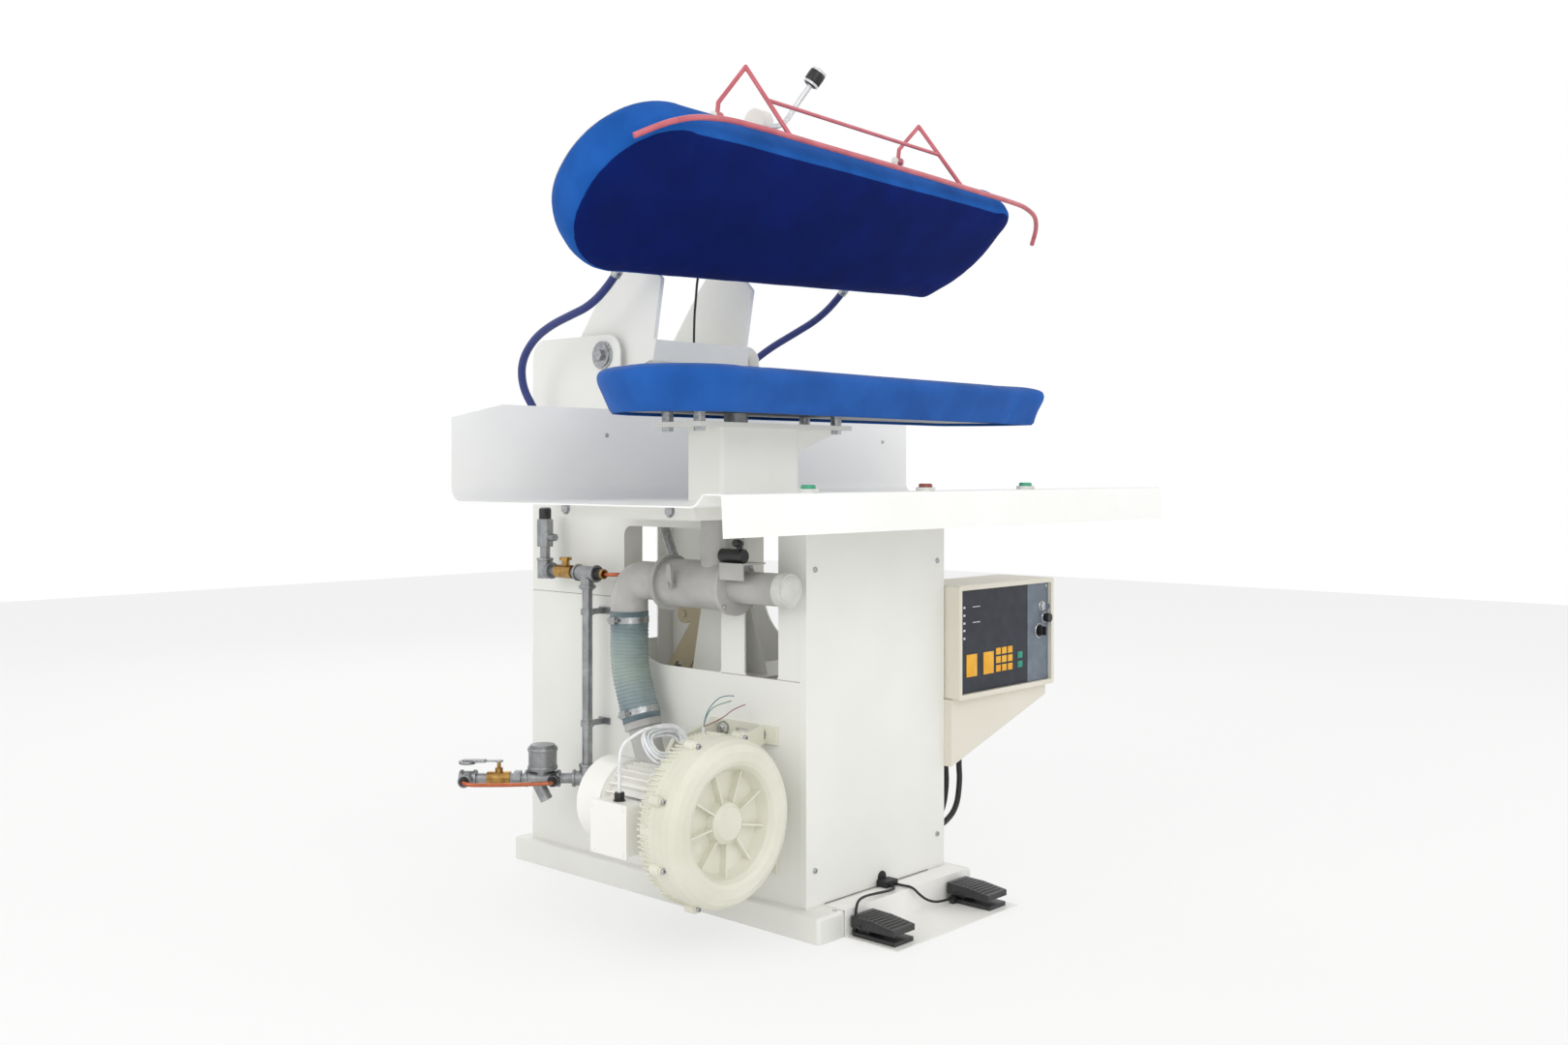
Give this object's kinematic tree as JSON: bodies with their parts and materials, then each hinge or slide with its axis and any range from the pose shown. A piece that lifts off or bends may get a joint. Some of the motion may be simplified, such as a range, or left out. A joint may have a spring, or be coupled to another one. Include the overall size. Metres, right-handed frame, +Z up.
{
  "type": "steam press",
  "caption": "Floor-standing steam press: padded head swings down on a padded buck over a work table, with vacuum blower, valve, control box, push buttons and foot pedals.",
  "frame": {"origin": "on the floor at the centre of the base plinth, head raised", "axes": "+Z up; the operator stands at -Y and +X points to the operator's right; the head hinge runs along X"},
  "size_m": [1.4746, 1.0442, 1.6773],
  "materials": {
    "white_paint": "satin white powder coat",
    "cream_paint": "semi-gloss cream casting paint",
    "grey_plastic": "moulded light grey pipe",
    "clear_hose": "translucent blue-grey ribbed hose",
    "black_plastic": "matte black",
    "black_rubber": "matte black rubber",
    "zinc": "galvanised",
    "steel": "machined",
    "brass": "brushed brass and copper",
    "blue_fabric": "woven press cover, blue",
    "red_paint": "gloss red guard paint",
    "aluminium": "cast aluminium",
    "panel": "printed membrane face",
    "green_plastic": "green",
    "red_plastic": "red",
    "blue_rubber": "blue steam hose",
    "white_cable": "white cable sheath"
  },
  "bodies": {
    "frame": {"base_plinth": "white_paint", "pedal_plate": "white_paint", "left_side_frame": "white_paint", "right_side_frame": "white_paint", "front_cover": "white_paint", "rear_covers": "white_paint", "fasteners": "zinc", "table_top": "white_paint", "table_beams": "white_paint", "pivot_shaft": "steel", "pivot_bearings": "zinc", "buck_column": "white_paint", "buck_casting": "aluminium", "buck_pad": "blue_fabric", "vacuum_valve_body": "grey_plastic", "vacuum_elbow": "grey_plastic", "vacuum_hose": "clear_hose", "hose_clamps": "steel", "blower_inlet_pipe": "grey_plastic", "blower_cover": "cream_paint", "blower_housing": "cream_paint", "blower_motor": "cream_paint", "motor_fan_cowl": "cream_paint", "terminal_box": "cream_paint", "blower_foot": "cream_paint", "motor_leads": "white_cable", "toggle_bracket": "white_paint", "air_cylinder": "aluminium", "control_box": "white_paint", "control_panel": "panel", "control_bracket": "white_paint", "conduits": "black_rubber", "pedal_bases": "black_plastic", "pedal_cords": "black_rubber", "cable_boot": "black_rubber", "button_bezels": "black_plastic", "steam_hoses": "blue_rubber", "steam_pipes": "zinc", "brass_fittings": "brass"},
    "impeller": {"blower_impeller": "aluminium"},
    "flap": {"valve_flap": "steel"},
    "crank": {"bell_crank": "white_paint"},
    "link": {"toggle_link": "steel"},
    "rod": {"cylinder_rod": "steel"},
    "head": {"head_casting": "aluminium", "head_pad": "blue_fabric", "head_yoke": "white_paint", "head_brackets": "white_paint", "head_cable": "black_rubber"},
    "guard": {"guard_bar": "red_paint"},
    "handle": {"steam_handle": "white_paint"},
    "left_pedal": {"left_pedal_tread": "black_plastic"},
    "right_pedal": {"right_pedal_tread": "black_plastic"},
    "left_button": {"green_button_left": "green_plastic"},
    "stop_button": {"red_button": "red_plastic"},
    "right_button": {"green_button_right": "green_plastic"},
    "key": {"key_switch": "black_plastic"},
    "start": {"start_knob": "black_plastic"},
    "selector": {"selector_knob": "black_plastic"},
    "valve_lever": {"ball_valve_lever": "steel"}
  },
  "joints": [
    {"name": "head_hinge", "type": "hinge", "parent": "frame", "child": "head", "pos_m": [0, 0.176, 1.092], "axis": [1, 0, 0], "range_deg": [0, 45], "stiffness_Nm_per_rad": 150, "springref_deg": -68.75},
    {"name": "crank_pivot", "type": "hinge", "parent": "frame", "child": "crank", "pos_m": [-0.08, -0.06, 0.6], "axis": [1, 0, 0], "range_deg": [0, 45]},
    {"name": "link_pivot", "type": "hinge", "parent": "crank", "child": "link", "pos_m": [-0.08, 0.043, 0.554], "axis": [1, 0, 0], "range_deg": [-45, 0]},
    {"name": "cylinder_stroke", "type": "slide", "parent": "frame", "child": "rod", "axis": [0, 0.5, 0.866], "range_m": [0, 0.1645]},
    {"name": "guard_swing", "type": "hinge", "parent": "head", "child": "guard", "pos_m": [0, -0.17685, 1.53111], "axis": [1, 0, 0], "range_deg": [-12, 3], "stiffness_Nm_per_rad": 60},
    {"name": "steam_handle_turn", "type": "hinge", "parent": "head", "child": "handle", "pos_m": [-0.1, -0.16765, 1.54031], "axis": [1, 0, 0], "range_deg": [-20, 20]},
    {"name": "left_pedal_press", "type": "hinge", "parent": "frame", "child": "left_pedal", "pos_m": [-0.128, -0.4765, 0.024], "axis": [1, 0, 0], "range_deg": [0, 6], "stiffness_Nm_per_rad": 3, "springref_deg": -8.59},
    {"name": "right_pedal_press", "type": "hinge", "parent": "frame", "child": "right_pedal", "pos_m": [0.166, -0.4765, 0.024], "axis": [1, 0, 0], "range_deg": [0, 6], "stiffness_Nm_per_rad": 3, "springref_deg": -8.59},
    {"name": "left_button_press", "type": "slide", "parent": "frame", "child": "left_button", "axis": [0, 0, -1], "range_m": [0, 0.004], "stiffness_N_per_m": 400, "springref_m": -0.002},
    {"name": "stop_button_press", "type": "slide", "parent": "frame", "child": "stop_button", "axis": [0, 0, -1], "range_m": [0, 0.004], "stiffness_N_per_m": 400, "springref_m": -0.002},
    {"name": "right_button_press", "type": "slide", "parent": "frame", "child": "right_button", "axis": [0, 0, -1], "range_m": [0, 0.004], "stiffness_N_per_m": 400, "springref_m": -0.002},
    {"name": "key_turn", "type": "hinge", "parent": "frame", "child": "key", "pos_m": [0.53, -0.421, 0.556], "axis": [0, 1, 0], "range_deg": [0, 90]},
    {"name": "start_press", "type": "slide", "parent": "frame", "child": "start", "axis": [0, 1, 0], "range_m": [0, 0.004], "stiffness_N_per_m": 300, "springref_m": -0.002},
    {"name": "selector_turn", "type": "hinge", "parent": "frame", "child": "selector", "pos_m": [0.52, -0.421, 0.503], "axis": [0, 1, 0], "range_deg": [-45, 45]},
    {"name": "ball_valve_turn", "type": "hinge", "parent": "frame", "child": "valve_lever", "pos_m": [-0.38003, 0.30413, 0.251], "axis": [0, 0, 1], "range_deg": [0, 90]},
    {"name": "impeller_spin", "type": "hinge", "parent": "frame", "child": "impeller", "pos_m": [-0.4, -0.349, 0.238], "axis": [0, 1, 0], "continuous": true},
    {"name": "flap_turn", "type": "hinge", "parent": "frame", "child": "flap", "pos_m": [-0.262, -0.142, 0.635], "axis": [1, 0, 0], "range_deg": [0, 80]}
  ],
  "couplings": [
    {"joint": "crank_pivot", "follows": "head_hinge", "ratio": 1},
    {"joint": "link_pivot", "follows": "head_hinge", "ratio": -1},
    {"joint": "cylinder_stroke", "follows": "head_hinge", "m_per_rad": 0.2088}
  ]
}
